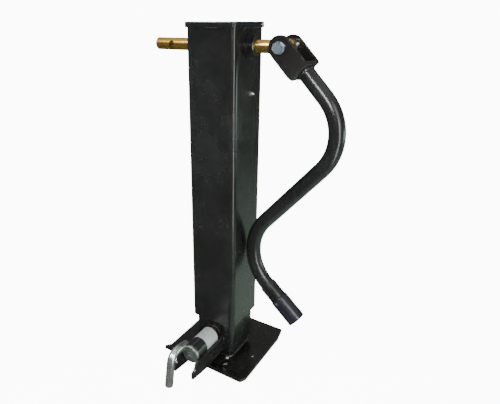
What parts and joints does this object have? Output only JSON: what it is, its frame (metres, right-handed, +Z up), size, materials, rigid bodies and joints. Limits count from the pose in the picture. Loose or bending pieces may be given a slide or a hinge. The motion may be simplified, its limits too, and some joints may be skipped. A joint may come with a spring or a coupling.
{
  "type": "trailer tongue jack",
  "caption": "Square side-wind trailer tongue jack with a spring-pinned drop leg, turned-up foot plate and S-bent folding crank handle, shown retracted.",
  "frame": {"origin": "centre of the foot plate's flat underside", "axes": "+Z up the leg, +X along the crank shaft towards the handle, -Y towards the plunger"},
  "size_m": [0.3058, 0.2226, 0.543],
  "materials": {
    "black_paint": "gloss, near black",
    "foot_paint": "satin black, scuffed",
    "yellow_zinc": "yellow zinc plate",
    "bright_zinc": "bright bluish zinc plate",
    "clear_zinc": "clear zinc plate",
    "bush_bronze": "sintered bronze",
    "machined_steel": "machined and greased",
    "blank_label": "blank white vinyl",
    "grip_black": "satin black"
  },
  "bodies": {
    "housing": {"outer_tube": "black_paint", "top_cap": "black_paint", "bush_handle_side": "black_paint", "bush_far_side": "bush_bronze", "grease_fitting": "clear_zinc", "bearing_plate": "black_paint", "thrust_race_upper": "machined_steel", "thrust_balls": "machined_steel"},
    "crank": {"crank_shaft": "yellow_zinc", "bevel_pinion": "machined_steel", "pinion_pin": "machined_steel", "stop_ring": "machined_steel", "stop_ring_screw": "machined_steel", "retaining_ring": "machined_steel"},
    "handle": {"handle_yoke": "black_paint", "handle_tube": "black_paint", "yoke_bolt": "bright_zinc", "bolt_nut": "bright_zinc", "bolt_washers": "bright_zinc", "bolt_spacers": "bright_zinc", "grip_collar": "black_paint"},
    "grip": {"handle_grip": "grip_black", "grip_rivet": "bright_zinc"},
    "screw": {"lead_screw": "machined_steel", "bevel_gear": "machined_steel", "gear_pin": "machined_steel", "thrust_race_lower": "machined_steel"},
    "ram": {"inner_tube": "black_paint", "screw_nut": "machined_steel", "plunger_neck": "black_paint", "neck_washer": "clear_zinc", "plunger_spring": "machined_steel", "guard_plate_left": "black_paint", "guard_plate_right": "black_paint"},
    "drop_leg": {"drop_leg": "foot_paint", "foot_plate": "foot_paint"},
    "plunger_slide": {"spring_follower": "clear_zinc"},
    "plunger_head": {"plunger_pin": "clear_zinc", "spring_collar": "clear_zinc", "pull_cap": "black_paint", "cap_disc": "clear_zinc", "cap_label": "blank_label", "pull_rod": "clear_zinc"}
  },
  "joints": [
    {"name": "crank_turn", "type": "hinge", "parent": "housing", "child": "crank", "pos_m": [0, 0, 0.5115], "axis": [1, 0, 0], "range_deg": [0, 36000]},
    {"name": "screw_turn", "type": "hinge", "parent": "housing", "child": "screw", "pos_m": [0, 0, 0.5], "axis": [0, 0, 1], "range_deg": [0, 18000]},
    {"name": "lift", "type": "slide", "parent": "housing", "child": "ram", "axis": [0, 0, -1], "range_m": [0, 0.3]},
    {"name": "drop", "type": "slide", "parent": "ram", "child": "drop_leg", "axis": [0, 0, -1], "range_m": [0, 0.3]},
    {"name": "plunger_slide", "type": "slide", "parent": "ram", "child": "plunger_slide", "axis": [0, 1, 0], "range_m": [0, 0.007]},
    {"name": "plunger_turn", "type": "hinge", "parent": "plunger_slide", "child": "plunger_head", "pos_m": [0, -0.06, 0.0485], "axis": [0, 1, 0], "range_deg": [0, 90]},
    {"name": "handle_fold", "type": "hinge", "parent": "crank", "child": "handle", "pos_m": [0.095, 0, 0.5115], "axis": [0, -1, 0], "range_deg": [0, 135]},
    {"name": "grip_spin", "type": "hinge", "parent": "handle", "child": "grip", "pos_m": [0.07925, 0, 0.14995], "axis": [0.7505, 0, -0.6609], "continuous": true}
  ],
  "couplings": [
    {"joint": "screw_turn", "follows": "crank_turn", "ratio": 0.5},
    {"joint": "lift", "follows": "crank_turn", "m_per_rad": 0.00047746}
  ]
}
